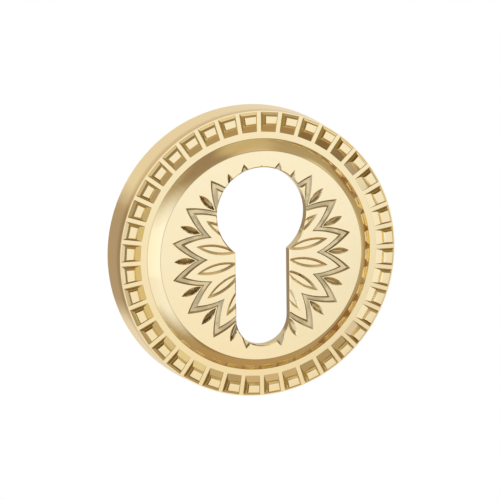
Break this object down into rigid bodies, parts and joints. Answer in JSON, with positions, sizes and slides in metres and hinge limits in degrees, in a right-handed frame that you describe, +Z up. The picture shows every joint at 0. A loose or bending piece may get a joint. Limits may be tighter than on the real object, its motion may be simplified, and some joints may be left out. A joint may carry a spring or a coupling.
{
  "type": "keyhole escutcheon",
  "caption": "Round polished brass keyhole escutcheon for a profile cylinder, with a ring of square studs and an engraved sunburst.",
  "frame": {"origin": "centre of the back rim, in the plane that lies on the door or drawer front", "axes": "+Z up, towards the round part of the keyhole; -Y out of the face, towards the user; +X to the right of someone who looks at the face"},
  "size_m": [0.055, 0.0086, 0.055],
  "materials": {
    "gold_brass": "mirror-polished, pale gold"
  },
  "bodies": {
    "root": {"escutcheon": "gold_brass"}
  },
  "joints": []
}
